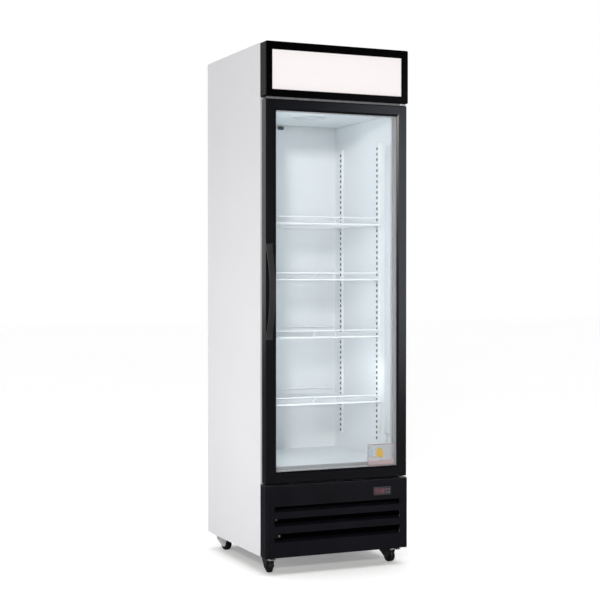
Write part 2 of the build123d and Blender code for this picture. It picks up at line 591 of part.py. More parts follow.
def condenser_fan_motor():
    """Fan motor on a bent bracket that stands on the base."""
    motor = rod((FAN_X, 160, FAN_Z), (FAN_X, 218, FAN_Z), 34)
    motor += rod((FAN_X, 156.4, FAN_Z), (FAN_X, 161, FAN_Z), 4)
    stand = block(FAN_X - 30, FAN_X + 30, 218, 221, FLOOR_TOP, FAN_Z + 34)
    foot = block(FAN_X - 30, FAN_X + 30, 200, 221, FLOOR_TOP, FLOOR_TOP + 3)
    return motor + stand + foot


def mount_places():
    """Centres of the compressor's four grommets."""
    return [(COMP_X + sx * 80, COMP_Y + sy * 50) for sx in (-1, 1) for sy in (-1, 1)]


def compressor():
    """Hermetic compressor: domed can, weld flange, base plate, terminal cover and three stubs."""
    z = FLOOR_TOP + 16
    can = fillet(disc(COMP_X, COMP_Y, z + 6, z + 176, 74).edges().filter_by(GeomType.CIRCLE), 34)
    band = disc(COMP_X, COMP_Y, z + 84, z + 90, 78)
    plate = block(COMP_X - 92, COMP_X + 92, COMP_Y - 62, COMP_Y + 62, z, z + 4)
    plate = fillet(plate.edges().filter_by(Axis.Z), 12)
    leg = block(COMP_X - 40, COMP_X + 40, COMP_Y - 40, COMP_Y + 40, z + 2, z + 30)
    terminals = block(COMP_X - 100, COMP_X - 60, COMP_Y - 25, COMP_Y + 25, z + 90, z + 150)
    stub = rod((COMP_X + 20, COMP_Y - 66, z + 110), (COMP_X + 20, COMP_Y - 90, z + 110), 4)
    holes = [disc(x, y, z - 1, z + 5, 6) for x, y in mount_places()]
    return can + band + plate + leg + terminals + stub - Compound(holes)


def compressor_mounts():
    """Rubber grommets that the compressor stands on."""
    made = []
    for x, y in mount_places():
        foot = disc(x, y, FLOOR_TOP, FLOOR_TOP + 16, 11)
        neck = disc(x, y, FLOOR_TOP + 15, FLOOR_TOP + 20, 6)
        made.append(foot + neck + disc(x, y, FLOOR_TOP + 20, FLOOR_TOP + 24, 9))
    return made


def pipe(points, radius, bend):
    """Copper pipe along a route with one bend radius."""
    path = FilletPolyline(*points, radius=bend)
    start = path @ 0
    section = Plane(origin=start, z_dir=path % 0) * Circle(radius)
    return sweep(section, path=path)


def refrigerant_lines():
    """Discharge pipe, liquid pipe with its filter drier, and the suction pipe from the cold space."""
    z = FLOOR_TOP + 126
    discharge = pipe([(COMP_X + 20, COMP_Y - 90, z), (COMP_X + 20, 330, z), (COMP_X + 20, 330, 300),
                      (COMP_X + 20, 95, 300), (96, 95, 300)], 3, 15)
    drier = rod((250, 380, 110), (250, 480, 110), 11)
    liquid = pipe([(250, 379.9, 110), (250, 330, 110), (250, 330, 160), (250, 560, 160),
                   (250, 560, 330)], 2.5, 14)
    return discharge, drier, liquid


def drain_pan():
    """Defrost water tray."""
    pan = block(-270, -90, 330, 600, FLOOR_TOP, FLOOR_TOP + 40)
    return pan - block(-268, -92, 332, 598, FLOOR_TOP + 2, FLOOR_TOP + 50)


def electrical_box():
    """Wiring box, and the mains cord gland in the rear cover's outlet."""
    box = block(150, 280, 160, 300, FLOOR_TOP, FLOOR_TOP + 90)
    lid = block(148, 282, 158, 302, FLOOR_TOP + 90, FLOOR_TOP + 94)
    gland = block(-269.5, -246.5, DEPTH - SHEET, DEPTH, 276.5, 299.5)
    gland += rod((-258, DEPTH, 288), (-258, DEPTH - 24, 288), 10)
    gland -= rod((-258, DEPTH + 1, 288), (-258, DEPTH - 30, 288), 4.5)
    return box + lid, gland


# ---------------------------------------------------------------- casters
def caster_plate(x, y):
    """Fixed part of a caster: mounting plate, ball race and kingpin."""
    top = BASE_BOTTOM
    plate = block(x - PLATE_HALF, x + PLATE_HALF, y - PLATE_HALF, y + PLATE_HALF, top - 2.5, top)
    plate = fillet(plate.edges().filter_by(Axis.Z), 5)
    race = disc(x, y, 60, top - 2, 19)
    pin = disc(x, y, 54, 61, AXLE_R) + disc(x, y, 51.5, 54.7, 7)
    holes = [disc(hx, hy, top - 4, top + 1, PLATE_HOLE_R) for hx, hy in plate_holes(x, y)]
    return plate + race + pin - Compound(holes)


def caster_fork(place):
    """Swivelling fork with its axle bolt, nut and pedal pin, placed on its kingpin."""
    crown = Pos(0, 0, 57.4) * Cylinder(21, 4) + block(-15.5, 15.5, -20, 18, 55.4, 59.4)
    crown -= Cylinder(AXLE_R + 0.15, 200)
    side = [(0, 24, 57), (0, 21, 42), (0, -10, 17), (0, -20, 14), (0, -28, 19), (0, -39, 50), (0, -37, 56),
            (0, -22, 59.4), (0, 22, 59.4)]
    body = crown
    for s in (-1, 1):
        leg = Pos(min(s * 13, s * 15.5), 0, 0) * prism(side, (2.5, 0, 0))
        body += leg
    bolt_hole = rod((-20, -TRAIL, WHEEL_R), (20, -TRAIL, WHEEL_R), AXLE_R)
    pin_hole = rod((-20, PEDAL_Y, PEDAL_Z), (20, PEDAL_Y, PEDAL_Z), PEDAL_PIN_R)
    body -= bolt_hole + pin_hole
    bolt = rod((-17, -TRAIL, WHEEL_R), (17, -TRAIL, WHEEL_R), AXLE_R)
    for s in (-1, 1):
        hexagon = Plane(origin=(s * 15.5, -TRAIL, WHEEL_R), z_dir=(s, 0, 0)) * RegularPolygon(6.5, 6)
        bolt += extrude(hexagon, 4)
    pedal_pin = rod((-15.5, PEDAL_Y, PEDAL_Z), (15.5, PEDAL_Y, PEDAL_Z), PEDAL_PIN_R)
    return [place * s for s in (body, bolt, pedal_pin)]


def caster_wheel(place):
    """Moulded wheel: rounded tread, recessed web and hub."""
    half = WHEEL_WIDE / 2
    low = [(AXLE_R + 0.1, -half - 1.5), (8, -half - 1.5), (8, -half + 4), (18, -half + 4), (18, -half),
           (22, -half), (WHEEL_R, -half + 3)]
    profile = low + [(r, -w) for r, w in reversed(low)]
    face = make_face(Polyline(*[(r, 0, w) for r, w in profile], close=True))
    wheel = revolve(face, Axis.Z)
    return place * Pos(0, -TRAIL, WHEEL_R) * Rot(0, 90, 0) * wheel


def brake_pedal(place):
    """Foot brake: tube on the pedal pin, cam lobe under it and tongue in front."""
    tube = rod((-12, PEDAL_Y, PEDAL_Z), (12, PEDAL_Y, PEDAL_Z), 3.6)
    lobe = block(-8, 8, PEDAL_Y - 1.5, PEDAL_Y + 1.5, PEDAL_Z - 5, PEDAL_Z)
    tongue = [(-PEDAL_HALF, PEDAL_Y, PEDAL_Z + 0.5), (-PEDAL_HALF, PEDAL_Y, PEDAL_Z + 3.5),
              (-PEDAL_HALF, PEDAL_TIP + 10, PEDAL_Z + 8), (-PEDAL_HALF, PEDAL_TIP, PEDAL_Z + 5),
              (-PEDAL_HALF, PEDAL_TIP, PEDAL_Z + 2.5), (-PEDAL_HALF, PEDAL_TIP + 10, PEDAL_Z + 5)]
    pedal = tube + lobe + prism(tongue, (2 * PEDAL_HALF, 0, 0))
    return place * (pedal - rod((-20, PEDAL_Y, PEDAL_Z), (20, PEDAL_Y, PEDAL_Z), PEDAL_PIN_R + 0.08))


# ---------------------------------------------------------------- write every node
os.makedirs("parts", exist_ok=True)
write("outer_case", *outer_case())
write("rear_panel", rear_panel())
write("rear_vent_panel", rear_vent_panel())
write("foam_insulation", *foam_insulation())
write("inner_liner", *inner_liner())
write("breaker_frame", *breaker_frame())
write("base_frame", base_frame())
write("canopy_frame", canopy_frame())
write("sign_panel", sign_panel())
write("sign_lamp", *sign_lamp())
write("grille_panel", grille_panel())
write("grille_screws", *grille_screws())
write("controller_housing", controller_housing())
write("controller_display", controller_display())
for key in BUTTONS:
    write(f"controller_button_{key}", controller_button(key))
write("door_stile_handle", door_stile(-1))
write("door_stile_hinge", door_stile(1))
write("door_rails", door_rail(-1), door_rail(1))
write("glass_outer", pane(DOOR_FRONT + POCKET_FRONT))
write("glass_inner", pane(DOOR_FRONT + POCKET_BACK - PANE))
write("glass_spacer", glass_spacer())
write("door_gasket", *door_gasket())
write("door_handle", door_handle())
write("door_closer", *door_closer())
write("hinge_brackets", *hinge_brackets())
write("shelf_pilasters", *shelf_pilasters())
write("shelf_clips", *shelf_clips())
for number, height in enumerate(SHELF_LEVELS, start=1):
    write(f"shelf_{number}", *shelf(height))
write("lamp_housings", *lamp_housings())
write("lamp_diffusers", *lamp_diffusers())
write("evaporator_cover", evaporator_cover())
write("evaporator_coil", evaporator_coil())
write("evaporator_fan_motor", evaporator_fan_motor())
write("evaporator_fan_blade", evaporator_fan_blade())
write("condenser_coil", condenser_coil())
write("condenser_fan_shroud", condenser_fan_shroud())
write("condenser_fan_motor", condenser_fan_motor())
write("condenser_fan_blade", condenser_fan_blade())
write("compressor", compressor())
write("compressor_mounts", *compressor_mounts())
write("refrigerant_lines", *refrigerant_lines())
write("drain_pan", drain_pan())
write("electrical_box", *electrical_box())
corners = [(end, side) for end in ("front", "rear") for side in ("left", "right")]
spots = {f"{end}_{side}": (-CASTER_X if side == "left" else CASTER_X, CASTER_DEPTHS[end])
         for end, side in corners}
write("caster_plates", *[caster_plate(x, y) for x, y in spots.values()])
for corner, (x, y) in spots.items():
    kingpin = Pos(x, y, 0) * Rot(0, 0, CASTER_TURNS[corner])
    write(f"caster_fork_{corner}", *caster_fork(kingpin))
    write(f"caster_wheel_{corner}", caster_wheel(kingpin))
    if corner.startswith("front"):
        write(f"brake_pedal_{corner}", brake_pedal(kingpin))
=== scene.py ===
"""Looks of the glass door merchandiser: materials, small added pieces, studio floor, lights, camera."""
import math

import bmesh
import bpy
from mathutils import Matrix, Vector


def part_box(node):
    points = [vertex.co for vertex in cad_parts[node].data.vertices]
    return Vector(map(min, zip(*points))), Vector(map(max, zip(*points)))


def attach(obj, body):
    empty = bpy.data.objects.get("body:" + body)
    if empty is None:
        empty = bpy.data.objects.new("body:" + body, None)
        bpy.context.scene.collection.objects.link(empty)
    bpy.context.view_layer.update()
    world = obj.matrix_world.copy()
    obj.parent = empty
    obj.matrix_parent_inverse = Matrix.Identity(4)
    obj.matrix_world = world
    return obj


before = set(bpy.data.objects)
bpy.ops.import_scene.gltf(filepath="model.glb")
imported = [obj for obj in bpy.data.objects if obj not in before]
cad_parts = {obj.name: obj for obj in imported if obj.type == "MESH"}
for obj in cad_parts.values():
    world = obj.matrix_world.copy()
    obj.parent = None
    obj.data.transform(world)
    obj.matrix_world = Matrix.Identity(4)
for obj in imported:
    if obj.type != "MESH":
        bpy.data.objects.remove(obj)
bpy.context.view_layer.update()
FRONT = -0.3045             # Y of the canopy's front plane in the row frame
SHELVES = ("shelf_1", "shelf_2", "shelf_3", "shelf_4")


# ---------------------------------------------------------------- node helpers
def new_material(name):
    mat = bpy.data.materials.new(name)
    mat.use_nodes = True
    tree = mat.node_tree
    tree.nodes.clear()
    out = tree.nodes.new("ShaderNodeOutputMaterial")
    return mat, tree, out


def add(tree, kind, values=None, links=None):
    """A node with some inputs set to constants and others linked to sockets."""
    node = tree.nodes.new(kind)
    for name, value in (values or {}).items():
        node.inputs[name].default_value = value
    for name, socket in (links or {}).items():
        tree.links.new(socket, node.inputs[name])
    return node


def find(tree, kind):
    return next(n for n in tree.nodes if n.type == kind)


def coords(tree, scale=(1, 1, 1)):
    where = add(tree, "ShaderNodeTexCoord")
    mapping = add(tree, "ShaderNodeMapping", {"Scale": scale}, {"Vector": where.outputs["Object"]})
    return mapping.outputs["Vector"]


def axes(tree, space="Object"):
    """The X, Y and Z of the shaded point, by name."""
    where = add(tree, "ShaderNodeTexCoord")
    parts = add(tree, "ShaderNodeSeparateXYZ", links={"Vector": where.outputs[space]})
    return parts.outputs


def noise(tree, vector, scale, detail=3.0):
    values = {"Scale": scale, "Detail": detail, "Roughness": 0.55}
    return add(tree, "ShaderNodeTexNoise", values, {"Vector": vector}).outputs["Fac"]


def spread(tree, fac, low, high, lo_in=0.3, hi_in=0.7):
    """low to high as fac goes from lo_in to hi_in."""
    values = {"From Min": lo_in, "From Max": hi_in, "To Min": low, "To Max": high}
    return add(tree, "ShaderNodeMapRange", values, {"Value": fac}).outputs["Result"]


def two_tone(tree, fac, dark, light):
    node = add(tree, "ShaderNodeValToRGB", links={"Fac": fac})
    for stop, position, rgb in zip(node.color_ramp.elements, (0.35, 0.65), (dark, light)):
        stop.position = position
        stop.color = (*rgb, 1)
    return node.outputs["Color"]


def bump(tree, height, strength, distance):
    values = {"Strength": strength, "Distance": distance}
    return add(tree, "ShaderNodeBump", values, {"Height": height}).outputs["Normal"]


def calc(tree, operation, *terms):
    """Arithmetic on numbers, which are set on the node, and sockets, which are linked to it."""
    node = tree.nodes.new("ShaderNodeMath")
    node.operation = operation
    for entry, term in zip(node.inputs, terms):
        if isinstance(term, (int, float)):
            entry.default_value = term
        else:
            tree.links.new(term, entry)
    return node.outputs[0]


def layer(tree, mask, under, rgb):
    """A colour laid over another where the mask is 1."""
    mix = tree.nodes.new("ShaderNodeMix")
    mix.data_type = "RGBA"
    tree.links.new(mask, mix.inputs["Factor"])
    tree.links.new(under, mix.inputs["A"])
    mix.inputs["B"].default_value = (*rgb, 1)
    return mix.outputs["Result"]


def blend_shaders(tree, out, amount, first, second):
    mix = add(tree, "ShaderNodeMixShader", links={"Fac": amount})
    tree.links.new(first, mix.inputs[1])
    tree.links.new(second, mix.inputs[2])
    tree.links.new(mix.outputs["Shader"], out.inputs["Surface"])


# ---------------------------------------------------------------- kinds of material
def plain(name, rgb, rough, drift=0.06, metal=0.0, blotch=6.0, grain=600.0, grain_depth=0.00003,
          stretch=(1, 1, 1), coat=0.0, specular=0.5, rough_spread=0.08):
    """A solid finish: slow colour drift, finer roughness drift and a fine surface grain."""
    mat, tree, out = new_material(name)
    body = add(tree, "ShaderNodeBsdfPrincipled", {
        "Metallic": metal, "Coat Weight": coat, "Coat Roughness": 0.1, "Specular IOR Level": specular})
    flat = coords(tree)
    dark, light = (tuple(c * k for c in rgb) for k in (1 - drift, 1 + drift / 2))
    colour = two_tone(tree, noise(tree, flat, blotch), dark, light)
    smears = noise(tree, flat, blotch * 4, 4.0)
    half = rough_spread / 2
    fine = noise(tree, coords(tree, stretch), grain, 2.0)
    tree.links.new(colour, body.inputs["Base Color"])
    tree.links.new(spread(tree, smears, rough - half, rough + half), body.inputs["Roughness"])
    tree.links.new(bump(tree, fine, 0.5, grain_depth), body.inputs["Normal"])
    tree.links.new(body.outputs["BSDF"], out.inputs["Surface"])
    return mat


def masked(name, base, other, rough, limits, **kw):
    """Two finishes on one part: other where the point lies within limits, a low and a high per axis."""
    mat = plain(name, base, rough, **kw)
    tree = mat.node_tree
    body = find(tree, "BSDF_PRINCIPLED")
    first = body.inputs["Base Color"].links[0].from_socket
    place = axes(tree)
    tests = [calc(tree, test, place[axis], value) for axis, span in limits.items()
             for test, value in zip(("GREATER_THAN", "LESS_THAN"), span)]
    inside = tests[0]
    for test in tests[1:]:
        inside = calc(tree, "MULTIPLY", inside, test)
    tree.links.new(layer(tree, inside, first, other), body.inputs["Base Color"])
    return mat


def glowing(name, rgb, strength, end_dim, half):
    """A lit diffuser from -half to half along X: emission that dims a little towards both ends."""
    mat, tree, out = new_material(name)
    body = add(tree, "ShaderNodeBsdfPrincipled", {
        "Roughness": 0.35, "Base Color": (*rgb, 1), "Emission Color": (*rgb, 1)})
    away = calc(tree, "ABSOLUTE", axes(tree)["X"])
    strong = spread(tree, away, strength, strength * (1 - end_dim), half * 0.4, half)
    tree.links.new(strong, body.inputs["Emission Strength"])
    tree.links.new(body.outputs["BSDF"], out.inputs["Surface"])
    return mat


def pane_glass(name, tint, gloss):
    """Flat glass: seen straight through, with a reflection that grows at grazing angles, both faces."""
    mat, tree, out = new_material(name)
    clear = add(tree, "ShaderNodeBsdfTransparent", {"Color": (*tint, 1)})
    shine = add(tree, "ShaderNodeBsdfGlossy", {"Roughness": 0.06, "Color": (gloss, gloss, gloss, 1)})
    facing = add(tree, "ShaderNodeLayerWeight", {"Blend": 0.5})
    steep = calc(tree, "POWER", facing.outputs["Facing"], 5.0)
    amount = spread(tree, steep, 0.025, 1.0, 0.0, 1.0)
    blend_shaders(tree, out, amount, clear.outputs["BSDF"], shine.outputs["BSDF"])
    return mat


def dress(mat, *nodes):
    """Give CAD nodes one material."""
    for name in nodes:
        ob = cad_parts[name]
        if not ob.material_slots:
            ob.data.materials.append(mat)
        for slot in ob.material_slots:
            slot.material = mat


# ---------------------------------------------------------------- case and interior
dress(plain("white_paint", (0.72, 0.722, 0.75), 0.42, drift=0.02, blotch=1.5, grain=900, specular=0.3),
      "outer_case")
dress(plain("rear_sheet", (0.62, 0.64, 0.66), 0.5, metal=0.3, drift=0.02, blotch=3, grain=500,
            rough_spread=0.02), "rear_panel", "rear_vent_panel")
dress(plain("liner_paint", (0.868, 0.886, 0.905), 0.38, drift=0.02, blotch=2.5, grain=700,
            grain_depth=0.000006), "inner_liner")
dress(plain("cover_paint", (0.80, 0.83, 0.86), 0.4, drift=0.02, blotch=3), "evaporator_cover")
dress(plain("breaker_plastic", (0.62, 0.63, 0.65), 0.5, drift=0.05), "breaker_frame")
dress(plain("galvanised_steel", (0.5, 0.51, 0.52), 0.42, metal=0.9, drift=0.25, blotch=60),
      "base_frame")
dress(plain("foam", (0.80, 0.72, 0.48), 0.9, drift=0.2, blotch=60, grain=300, grain_depth=0.0004),
      "foam_insulation")
dress(plain("shelf_wire", (0.84, 0.86, 0.88), 0.35, drift=0.02, blotch=30, grain=900), *SHELVES)
dress(plain("pilaster_paint", (0.88, 0.89, 0.90), 0.35, drift=0.02, blotch=9), "shelf_pilasters")
dress(plain("clip_steel", (0.6, 0.61, 0.62), 0.35, metal=0.9, drift=0.15, blotch=80), "shelf_clips")
dress(plain("lamp_lens", (0.75, 0.76, 0.79), 0.3, drift=0.02, blotch=12), "lamp_diffusers")
dress(plain("lamp_body", (0.84, 0.85, 0.87), 0.4, drift=0.04, blotch=30), "lamp_housings")

# ---------------------------------------------------------------- canopy, grille and controls
dress(plain("black_moulding", (0.0008, 0.0008, 0.001), 0.22, drift=0.2, blotch=8, grain=1200,
            specular=0.05, rough_spread=0.03), "canopy_frame")
dress(glowing("sign_glow", (0.5, 0.474, 0.477), 0.80, 0.02, 0.277), "sign_panel")
dress(glowing("tube_glow", (1.0, 0.98, 0.95), 2.0, 0.1, 0.25), "sign_lamp")
dress(plain("grille_moulding", (0.0055, 0.005, 0.008), 0.3, specular=0.25, drift=0.2, blotch=8,
            grain=1500, grain_depth=0.00004, rough_spread=0.03), "grille_panel")
dress(plain("screw_zinc", (0.42, 0.41, 0.40), 0.4, metal=0.8, drift=0.15, blotch=200), "grille_screws")
dress(plain("controller_plastic", (0.035, 0.030, 0.034), 0.4, drift=0.1, blotch=40),
      "controller_housing")
dress(plain("display_window", (0.115, 0.05, 0.066), 0.25, drift=0.3, blotch=90, coat=0.3),
      "controller_display")
dress(plain("key_rubber", (0.11, 0.095, 0.11), 0.5, drift=0.1, blotch=150), "controller_button_set",
      "controller_button_up", "controller_button_defrost", "controller_button_down")

# ---------------------------------------------------------------- door
# The bars are black, but silver on the inner edges behind the glass unit.
OPENING = {"X": (-0.262, 0.258), "Y": (FRONT + 0.0335, FRONT + 0.06), "Z": (0.396, 1.779)}
# The bottom runs of the gasket and the spacer are painted lighter than the rest: painted light for the
# pale strip along the foot of the glass.
GASKET_PAINTED_LIGHT = {"X": (-0.25, 0.246), "Z": (0.35, 0.42)}
SPACER_PAINTED_LIGHT = {"X": (-0.255, 0.251), "Z": (0.385, 0.412)}
dress(masked("door_anodised", (0.0034, 0.0034, 0.0052), (0.42, 0.43, 0.46), 0.22, OPENING, drift=0.06,
             specular=0.35, blotch=3, grain=1500, stretch=(1, 1, 0.03), rough_spread=0.02),
      "door_stile_handle", "door_stile_hinge", "door_rails")
dress(plain("handle_moulding", (0.022, 0.021, 0.023), 0.45, drift=0.1, blotch=20, grain=1500,
            specular=0.35), "door_handle")
dress(masked("gasket_rubber", (0.32, 0.32, 0.34), (0.80, 0.81, 0.82), 0.6, GASKET_PAINTED_LIGHT, drift=0.1,
             blotch=20), "door_gasket")
dress(masked("spacer_aluminium", (0.44, 0.44, 0.47), (0.86, 0.87, 0.89), 0.45, SPACER_PAINTED_LIGHT,
             drift=0.04), "glass_spacer")
dress(pane_glass("door_glass", (0.994, 0.997, 0.998), 0.18), "glass_outer", "glass_inner")
dress(plain("bracket_steel", (0.62, 0.63, 0.65), 0.32, metal=0.9, drift=0.12, blotch=70),
      "hinge_brackets")
dress(plain("spring_steel", (0.4, 0.4, 0.41), 0.35, metal=0.9, drift=0.12, blotch=70), "door_closer")

# ---------------------------------------------------------------- cooling machinery
dress(plain("fin_aluminium", (0.62, 0.63, 0.64), 0.4, metal=0.9, drift=0.15, blotch=40),
      "evaporator_coil")
dress(plain("fin_black", (0.008, 0.008, 0.009), 0.6, drift=0.3, blotch=40, specular=0.2),
      "condenser_coil")
dress(plain("shroud_sheet", (0.01, 0.01, 0.011), 0.6, drift=0.15, blotch=40, specular=0.2),
      "condenser_fan_shroud")
dress(plain("motor_enamel", (0.03, 0.03, 0.035), 0.42, drift=0.25, blotch=30),
      "condenser_fan_motor", "evaporator_fan_motor")
dress(plain("fan_aluminium", (0.58, 0.59, 0.6), 0.38, metal=0.9, drift=0.12, blotch=50),
      "condenser_fan_blade", "evaporator_fan_blade")
dress(plain("compressor_enamel", (0.014, 0.014, 0.015), 0.35, drift=0.3, blotch=20, grain=400,
            grain_depth=0.0001), "compressor")
dress(plain("grommet_rubber", (0.02, 0.02, 0.02), 0.75), "compressor_mounts")
dress(plain("copper_pipe", (0.72, 0.36, 0.22), 0.32, metal=1.0, drift=0.3, blotch=60),
      "refrigerant_lines")
dress(plain("pan_plastic", (0.06, 0.06, 0.065), 0.55, drift=0.15), "drain_pan")
dress(plain("box_plastic", (0.2, 0.2, 0.21), 0.5, drift=0.1), "electrical_box")

# ---------------------------------------------------------------- casters
dress(plain("bright_zinc", (0.72, 0.73, 0.74), 0.35, metal=0.45, drift=0.12, blotch=70),
      "caster_plates", "caster_fork_rear_left", "caster_fork_rear_right",
      "brake_pedal_front_left", "brake_pedal_front_right")
# The front forks are near black, where the rear forks are bright zinc.
dress(plain("front_fork_near_black", (0.035, 0.035, 0.037), 0.4, metal=0.3, drift=0.35, blotch=70),
      "caster_fork_front_left", "caster_fork_front_right")
dress(plain("wheel_rubber", (0.007, 0.007, 0.007), 0.5, drift=0.25, blotch=60, grain=700),
      *[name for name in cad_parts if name.startswith("caster_wheel")])


# ---------------------------------------------------------------- added pieces
def piece(name, mesh_maker, mat, body):
    """A small part of the builder's own mesh, in place, riding on a CAD body."""
    mesh = bpy.data.meshes.new(name)
    shape = bmesh.new()
    mesh_maker(shape)
    shape.to_mesh(mesh)
    shape.free()
    mesh.materials.append(mat)
    ob = bpy.data.objects.new(name, mesh)
    bpy.context.scene.collection.objects.link(ob)
    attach(ob, body)


def soft_box(shape, low, high, edge, segments=1):
    """A box between two corners with rounded edges, added to the mesh being made."""
    size = [h - l for l, h in zip(low, high)]
    middle = [(l + h) / 2 for l, h in zip(low, high)]
    made = bmesh.ops.create_cube(shape, size=1.0)["verts"]
    bmesh.ops.scale(shape, vec=size, verts=made)
    bmesh.ops.translate(shape, vec=middle, verts=made)
    edges = list({e for v in made for e in v.link_edges})
    bmesh.ops.bevel(shape, geom=edges, offset=edge, segments=segments, affect="EDGES", profile=0.5)


SLOT_COUNT, SLOT_PITCH, SLOT_FIRST = 54, 0.0222, 0.008      # the slots of one shelf channel
SLOT_HALF_WIDTH = 0.0062                                    # wider than the CAD's slots, to show
CHANNEL_HALF, CHANNEL_DEPTH = 0.010, 0.010                  # a shelf channel's half width and depth


def slot_shade_blocks(shape):
    """Dark blocks in the slots of the shelf channels, standing slightly proud of the channel: painted
    shade for the dark hollows of the slots.
    """
    proud, sunk, below, above = 0.0002, 0.0013, 0.0005, 0.0105
    low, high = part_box("shelf_pilasters")
    face = high[0] - CHANNEL_DEPTH
    for side in (-1, 1):
        near, far = sorted((side * (face - proud), side * (face + sunk)))
        for y in (low[1] + CHANNEL_HALF, high[1] - CHANNEL_HALF):
            for i in range(SLOT_COUNT):
                z = low[2] + SLOT_FIRST + SLOT_PITCH * i
                soft_box(shape, (near, y - SLOT_HALF_WIDTH, z - below),
                         (far, y + SLOT_HALF_WIDTH, z + above), 0.0002)


def head_seal(shape):
    """Grey brush seal in the gap between the canopy and the door."""
    half_width = 0.297
    top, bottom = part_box("canopy_frame")[0][2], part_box("door_rails")[1][2]
    soft_box(shape, (-half_width, FRONT + 0.012, bottom + 0.0004),
             (half_width, FRONT + 0.020, top + 0.0006), 0.0004)


def shade_filter_mat(shape):
    """Black dust filter behind the grille's slots: a mat with shallow upright pleats, whose near-black
    dull finish is also painted shade for the dark inside of the grille.
    """
    pleats, width, left = 49, 0.0121, -0.297
    low, high = 0.104, 0.304
    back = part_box("grille_panel")[1][1]
    for i in range(pleats):
        x = left + width * i
        soft_box(shape, (x, back + 0.0005, low), (x + width, back + 0.0025, high), 0.0004)


def probe(shape):
    """Thermostat bulb in its clip, high on the back wall."""
    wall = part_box("inner_liner")[1][1] - 0.002
    bulb = (-0.011, wall - 0.010, 1.7725), (0.016, wall - 0.0005, 1.7865)
    clip = (-0.002, wall - 0.012, 1.7745), (0.006, wall - 0.0005, 1.7845)
    soft_box(shape, *bulb, 0.003, 3)
    soft_box(shape, *clip, 0.001, 2)


STICKER_X, STICKER_Z = 0.189, 0.44275       # the sticker's middle
STICKER_HALF_X, STICKER_HALF_Z = 0.059, 0.04175


def sticker_sheet(shape):
    """Generic care sticker on the outer face of the door glass."""
    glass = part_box("glass_outer")[0][1]
    low = (STICKER_X - STICKER_HALF_X, glass - 0.00035, STICKER_Z - STICKER_HALF_Z)
    high = (STICKER_X + STICKER_HALF_X, glass - 0.00005, STICKER_Z + STICKER_HALF_Z)
    soft_box(shape, low, high, 0.0001)


def sticker_material():
    """Clear film with a thin red outline, faint pink and blue bands and a plain yellow mark."""
    mat, tree, out = new_material("sticker_film")
    body = add(tree, "ShaderNodeBsdfPrincipled", {"Roughness": 0.35})
    place = axes(tree)

    def off(axis, middle):
        """How far the point lies from a middle, along one axis."""
        return calc(tree, "ABSOLUTE", calc(tree, "SUBTRACT", place[axis], middle))

    def within(x, half_x, z, half_z):
        """1 inside the rectangle around (x, z)."""
        across = calc(tree, "LESS_THAN", off("X", x), half_x)
        up = calc(tree, "LESS_THAN", off("Z", z), half_z)
        return calc(tree, "MULTIPLY", across, up)

    edge = within(STICKER_X, 0.0588, STICKER_Z, 0.0415)
    rim = calc(tree, "SUBTRACT", edge, within(STICKER_X, 0.0565, STICKER_Z, 0.0392))
    pink_band = within(STICKER_X, 0.057, 0.414, 0.010)
    blue_block = within(0.146, 0.009, 0.452, 0.014)
    # the mark is a triangle with a blunt top, and its sides lean out by the taper
    mark_x, mark_top, blunt, taper = 0.183, 0.4720, 0.005, 0.6
    drop = calc(tree, "SUBTRACT", mark_top, place["Z"])
    half_width = calc(tree, "ADD", calc(tree, "MULTIPLY", drop, taper), blunt)
    wedge = calc(tree, "LESS_THAN", off("X", mark_x), half_width)
    mark = calc(tree, "MULTIPLY", wedge, within(0.184, 0.0155, 0.450, 0.0175))

    flat = coords(tree)
    colour = two_tone(tree, noise(tree, flat, 60.0), (0.74, 0.74, 0.76), (0.80, 0.80, 0.81))
    for mask, strength, rgb in ((pink_band, 0.8, (0.66, 0.50, 0.53)),
                                (blue_block, 0.9, (0.46, 0.62, 0.70)),
                                (mark, 1.0, (0.62, 0.40, 0.08)),
                                (rim, 1.0, (0.34, 0.16, 0.17))):
        colour = layer(tree, calc(tree, "MULTIPLY", mask, strength), colour, rgb)
    tree.links.new(colour, body.inputs["Base Color"])

    opacity = 0.22                          # of the bare film
    for mask, strength in ((rim, 0.75), (mark, 0.9), (pink_band, 0.4), (blue_block, 0.4)):
        opacity = calc(tree, "MAXIMUM", opacity, calc(tree, "MULTIPLY", mask, strength))
    tree.links.new(opacity, body.inputs["Alpha"])
    fine = noise(tree, flat, 900.0, 2.0)
    tree.links.new(bump(tree, fine, 0.3, 0.00001), body.inputs["Normal"])
    tree.links.new(body.outputs["BSDF"], out.inputs["Surface"])
    return mat


# Dark grey blocks in the shelf slots: painted shade.
slot_shade_grey = plain("slot_shade_paint", (0.10, 0.11, 0.12), 0.7, drift=0.3, blotch=90)
# Near-black dull filter behind the grille slots: the mat's own black, and painted shade.
filter_shade_black = plain("shade_filter_mat", (0.002, 0.002, 0.002), 0.95, drift=0.3, blotch=60, specular=0.05)
brush_grey = plain("seal_brush", (0.20, 0.20, 0.21), 0.8, drift=0.15, blotch=80, grain=2000)
probe_plastic = plain("probe_plastic", (0.11, 0.14, 0.16), 0.5)
piece("slot_shade_blocks", slot_shade_blocks, slot_shade_grey, "cabinet")
piece("grille_filter", shade_filter_mat, filter_shade_black, "cabinet")
piece("head_seal", head_seal, brush_grey, "cabinet")
piece("thermostat_probe", probe, probe_plastic, "cabinet")
piece("care_sticker", sticker_sheet, sticker_material(), "door")

# ---------------------------------------------------------------- studio
FLOOR_HALF = 30.0
# The world's strength: facing the front, in the low band behind, above that band, and in gloss behind.
WORLD_FRONT, WORLD_BAND, WORLD_SKY, WORLD_SHINE = 0.02, 0.8, 0.02, 0.9


